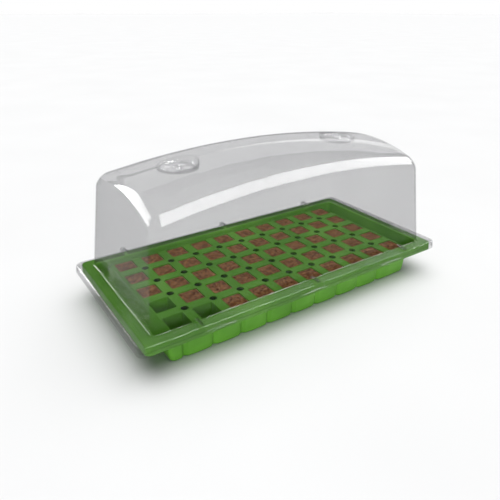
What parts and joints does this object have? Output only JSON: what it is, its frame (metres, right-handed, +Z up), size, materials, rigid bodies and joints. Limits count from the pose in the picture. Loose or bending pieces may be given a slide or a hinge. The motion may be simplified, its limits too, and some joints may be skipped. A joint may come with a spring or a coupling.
{
  "type": "humidity dome tray",
  "caption": "Long seed-starting tray with a cell insert full of growing plugs, under a tall clear dome with rotary air vents in its roof.",
  "frame": {"origin": "middle of the tray's underside, on the surface it stands on", "axes": "+X along the length, +Y across the width towards the back, +Z up; the front is the -Y side, and the empty cells are at the -X end of the front row"},
  "size_m": [0.5436, 0.2644, 0.2365],
  "materials": {
    "tray_plastic": "satin green",
    "insert_plastic": "satin green",
    "clear_plastic": "clear, glossy",
    "vent_plastic": "clear, slightly hazy",
    "plug_sponge": "rough open sponge"
  },
  "bodies": {
    "tray": {"base_tray": "tray_plastic"},
    "insert": {"cell_insert": "insert_plastic"},
    "dome": {"dome": "clear_plastic"},
    "vent_disc_left": {"vent_disc_left": "vent_plastic"},
    "vent_disc_right": {"vent_disc_right": "vent_plastic"},
    "plug_row1_col03": {"plug_row1_col03": "plug_sponge"},
    "plug_row1_col04": {"plug_row1_col04": "plug_sponge"},
    "plug_row1_col05": {"plug_row1_col05": "plug_sponge"},
    "plug_row1_col06": {"plug_row1_col06": "plug_sponge"},
    "plug_row1_col07": {"plug_row1_col07": "plug_sponge"},
    "plug_row1_col08": {"plug_row1_col08": "plug_sponge"},
    "plug_row1_col09": {"plug_row1_col09": "plug_sponge"},
    "plug_row1_col10": {"plug_row1_col10": "plug_sponge"},
    "plug_row2_col02": {"plug_row2_col02": "plug_sponge"},
    "plug_row2_col03": {"plug_row2_col03": "plug_sponge"},
    "plug_row2_col04": {"plug_row2_col04": "plug_sponge"},
    "plug_row2_col05": {"plug_row2_col05": "plug_sponge"},
    "plug_row2_col06": {"plug_row2_col06": "plug_sponge"},
    "plug_row2_col07": {"plug_row2_col07": "plug_sponge"},
    "plug_row2_col08": {"plug_row2_col08": "plug_sponge"},
    "plug_row2_col09": {"plug_row2_col09": "plug_sponge"},
    "plug_row2_col10": {"plug_row2_col10": "plug_sponge"},
    "plug_row3_col01": {"plug_row3_col01": "plug_sponge"},
    "plug_row3_col02": {"plug_row3_col02": "plug_sponge"},
    "plug_row3_col03": {"plug_row3_col03": "plug_sponge"},
    "plug_row3_col04": {"plug_row3_col04": "plug_sponge"},
    "plug_row3_col05": {"plug_row3_col05": "plug_sponge"},
    "plug_row3_col06": {"plug_row3_col06": "plug_sponge"},
    "plug_row3_col07": {"plug_row3_col07": "plug_sponge"},
    "plug_row3_col08": {"plug_row3_col08": "plug_sponge"},
    "plug_row3_col09": {"plug_row3_col09": "plug_sponge"},
    "plug_row3_col10": {"plug_row3_col10": "plug_sponge"},
    "plug_row4_col01": {"plug_row4_col01": "plug_sponge"},
    "plug_row4_col02": {"plug_row4_col02": "plug_sponge"},
    "plug_row4_col03": {"plug_row4_col03": "plug_sponge"},
    "plug_row4_col04": {"plug_row4_col04": "plug_sponge"},
    "plug_row4_col05": {"plug_row4_col05": "plug_sponge"},
    "plug_row4_col06": {"plug_row4_col06": "plug_sponge"},
    "plug_row4_col07": {"plug_row4_col07": "plug_sponge"},
    "plug_row4_col08": {"plug_row4_col08": "plug_sponge"},
    "plug_row4_col09": {"plug_row4_col09": "plug_sponge"},
    "plug_row4_col10": {"plug_row4_col10": "plug_sponge"},
    "plug_row5_col01": {"plug_row5_col01": "plug_sponge"},
    "plug_row5_col02": {"plug_row5_col02": "plug_sponge"},
    "plug_row5_col03": {"plug_row5_col03": "plug_sponge"},
    "plug_row5_col04": {"plug_row5_col04": "plug_sponge"},
    "plug_row5_col05": {"plug_row5_col05": "plug_sponge"},
    "plug_row5_col06": {"plug_row5_col06": "plug_sponge"},
    "plug_row5_col07": {"plug_row5_col07": "plug_sponge"},
    "plug_row5_col08": {"plug_row5_col08": "plug_sponge"},
    "plug_row5_col09": {"plug_row5_col09": "plug_sponge"},
    "plug_row5_col10": {"plug_row5_col10": "plug_sponge"}
  },
  "joints": [
    {"name": "air_vent_left_turn", "type": "hinge", "parent": "dome", "child": "vent_disc_left", "pos_m": [-0.144, 0, 0.2212], "axis": [0, 0, 1], "range_deg": [0, 45]},
    {"name": "air_vent_right_turn", "type": "hinge", "parent": "dome", "child": "vent_disc_right", "pos_m": [0.144, 0, 0.2212], "axis": [0, 0, 1], "range_deg": [0, 45]},
    {"name": "dome_lift", "type": "slide", "parent": "tray", "child": "dome", "axis": [0, 0, 1], "range_m": [0, 0.3]},
    {"name": "insert_lift", "type": "slide", "parent": "tray", "child": "insert", "axis": [0, 0, 1], "range_m": [0, 0.053]},
    {"name": "plug_row1_col03_lift", "type": "slide", "parent": "insert", "child": "plug_row1_col03", "axis": [0, 0, 1], "range_m": [0, 0.045]},
    {"name": "plug_row1_col04_lift", "type": "slide", "parent": "insert", "child": "plug_row1_col04", "axis": [0, 0, 1], "range_m": [0, 0.045]},
    {"name": "plug_row1_col05_lift", "type": "slide", "parent": "insert", "child": "plug_row1_col05", "axis": [0, 0, 1], "range_m": [0, 0.045]},
    {"name": "plug_row1_col06_lift", "type": "slide", "parent": "insert", "child": "plug_row1_col06", "axis": [0, 0, 1], "range_m": [0, 0.045]},
    {"name": "plug_row1_col07_lift", "type": "slide", "parent": "insert", "child": "plug_row1_col07", "axis": [0, 0, 1], "range_m": [0, 0.045]},
    {"name": "plug_row1_col08_lift", "type": "slide", "parent": "insert", "child": "plug_row1_col08", "axis": [0, 0, 1], "range_m": [0, 0.045]},
    {"name": "plug_row1_col09_lift", "type": "slide", "parent": "insert", "child": "plug_row1_col09", "axis": [0, 0, 1], "range_m": [0, 0.045]},
    {"name": "plug_row1_col10_lift", "type": "slide", "parent": "insert", "child": "plug_row1_col10", "axis": [0, 0, 1], "range_m": [0, 0.045]},
    {"name": "plug_row2_col02_lift", "type": "slide", "parent": "insert", "child": "plug_row2_col02", "axis": [0, 0, 1], "range_m": [0, 0.045]},
    {"name": "plug_row2_col03_lift", "type": "slide", "parent": "insert", "child": "plug_row2_col03", "axis": [0, 0, 1], "range_m": [0, 0.045]},
    {"name": "plug_row2_col04_lift", "type": "slide", "parent": "insert", "child": "plug_row2_col04", "axis": [0, 0, 1], "range_m": [0, 0.045]},
    {"name": "plug_row2_col05_lift", "type": "slide", "parent": "insert", "child": "plug_row2_col05", "axis": [0, 0, 1], "range_m": [0, 0.045]},
    {"name": "plug_row2_col06_lift", "type": "slide", "parent": "insert", "child": "plug_row2_col06", "axis": [0, 0, 1], "range_m": [0, 0.045]},
    {"name": "plug_row2_col07_lift", "type": "slide", "parent": "insert", "child": "plug_row2_col07", "axis": [0, 0, 1], "range_m": [0, 0.045]},
    {"name": "plug_row2_col08_lift", "type": "slide", "parent": "insert", "child": "plug_row2_col08", "axis": [0, 0, 1], "range_m": [0, 0.045]},
    {"name": "plug_row2_col09_lift", "type": "slide", "parent": "insert", "child": "plug_row2_col09", "axis": [0, 0, 1], "range_m": [0, 0.045]},
    {"name": "plug_row2_col10_lift", "type": "slide", "parent": "insert", "child": "plug_row2_col10", "axis": [0, 0, 1], "range_m": [0, 0.045]},
    {"name": "plug_row3_col01_lift", "type": "slide", "parent": "insert", "child": "plug_row3_col01", "axis": [0, 0, 1], "range_m": [0, 0.045]},
    {"name": "plug_row3_col02_lift", "type": "slide", "parent": "insert", "child": "plug_row3_col02", "axis": [0, 0, 1], "range_m": [0, 0.045]},
    {"name": "plug_row3_col03_lift", "type": "slide", "parent": "insert", "child": "plug_row3_col03", "axis": [0, 0, 1], "range_m": [0, 0.045]},
    {"name": "plug_row3_col04_lift", "type": "slide", "parent": "insert", "child": "plug_row3_col04", "axis": [0, 0, 1], "range_m": [0, 0.045]},
    {"name": "plug_row3_col05_lift", "type": "slide", "parent": "insert", "child": "plug_row3_col05", "axis": [0, 0, 1], "range_m": [0, 0.045]},
    {"name": "plug_row3_col06_lift", "type": "slide", "parent": "insert", "child": "plug_row3_col06", "axis": [0, 0, 1], "range_m": [0, 0.045]},
    {"name": "plug_row3_col07_lift", "type": "slide", "parent": "insert", "child": "plug_row3_col07", "axis": [0, 0, 1], "range_m": [0, 0.045]},
    {"name": "plug_row3_col08_lift", "type": "slide", "parent": "insert", "child": "plug_row3_col08", "axis": [0, 0, 1], "range_m": [0, 0.045]},
    {"name": "plug_row3_col09_lift", "type": "slide", "parent": "insert", "child": "plug_row3_col09", "axis": [0, 0, 1], "range_m": [0, 0.045]},
    {"name": "plug_row3_col10_lift", "type": "slide", "parent": "insert", "child": "plug_row3_col10", "axis": [0, 0, 1], "range_m": [0, 0.045]},
    {"name": "plug_row4_col01_lift", "type": "slide", "parent": "insert", "child": "plug_row4_col01", "axis": [0, 0, 1], "range_m": [0, 0.045]},
    {"name": "plug_row4_col02_lift", "type": "slide", "parent": "insert", "child": "plug_row4_col02", "axis": [0, 0, 1], "range_m": [0, 0.045]},
    {"name": "plug_row4_col03_lift", "type": "slide", "parent": "insert", "child": "plug_row4_col03", "axis": [0, 0, 1], "range_m": [0, 0.045]},
    {"name": "plug_row4_col04_lift", "type": "slide", "parent": "insert", "child": "plug_row4_col04", "axis": [0, 0, 1], "range_m": [0, 0.045]},
    {"name": "plug_row4_col05_lift", "type": "slide", "parent": "insert", "child": "plug_row4_col05", "axis": [0, 0, 1], "range_m": [0, 0.045]},
    {"name": "plug_row4_col06_lift", "type": "slide", "parent": "insert", "child": "plug_row4_col06", "axis": [0, 0, 1], "range_m": [0, 0.045]},
    {"name": "plug_row4_col07_lift", "type": "slide", "parent": "insert", "child": "plug_row4_col07", "axis": [0, 0, 1], "range_m": [0, 0.045]},
    {"name": "plug_row4_col08_lift", "type": "slide", "parent": "insert", "child": "plug_row4_col08", "axis": [0, 0, 1], "range_m": [0, 0.045]},
    {"name": "plug_row4_col09_lift", "type": "slide", "parent": "insert", "child": "plug_row4_col09", "axis": [0, 0, 1], "range_m": [0, 0.045]},
    {"name": "plug_row4_col10_lift", "type": "slide", "parent": "insert", "child": "plug_row4_col10", "axis": [0, 0, 1], "range_m": [0, 0.045]},
    {"name": "plug_row5_col01_lift", "type": "slide", "parent": "insert", "child": "plug_row5_col01", "axis": [0, 0, 1], "range_m": [0, 0.045]},
    {"name": "plug_row5_col02_lift", "type": "slide", "parent": "insert", "child": "plug_row5_col02", "axis": [0, 0, 1], "range_m": [0, 0.045]},
    {"name": "plug_row5_col03_lift", "type": "slide", "parent": "insert", "child": "plug_row5_col03", "axis": [0, 0, 1], "range_m": [0, 0.045]},
    {"name": "plug_row5_col04_lift", "type": "slide", "parent": "insert", "child": "plug_row5_col04", "axis": [0, 0, 1], "range_m": [0, 0.045]},
    {"name": "plug_row5_col05_lift", "type": "slide", "parent": "insert", "child": "plug_row5_col05", "axis": [0, 0, 1], "range_m": [0, 0.045]},
    {"name": "plug_row5_col06_lift", "type": "slide", "parent": "insert", "child": "plug_row5_col06", "axis": [0, 0, 1], "range_m": [0, 0.045]},
    {"name": "plug_row5_col07_lift", "type": "slide", "parent": "insert", "child": "plug_row5_col07", "axis": [0, 0, 1], "range_m": [0, 0.045]},
    {"name": "plug_row5_col08_lift", "type": "slide", "parent": "insert", "child": "plug_row5_col08", "axis": [0, 0, 1], "range_m": [0, 0.045]},
    {"name": "plug_row5_col09_lift", "type": "slide", "parent": "insert", "child": "plug_row5_col09", "axis": [0, 0, 1], "range_m": [0, 0.045]},
    {"name": "plug_row5_col10_lift", "type": "slide", "parent": "insert", "child": "plug_row5_col10", "axis": [0, 0, 1], "range_m": [0, 0.045]}
  ]
}
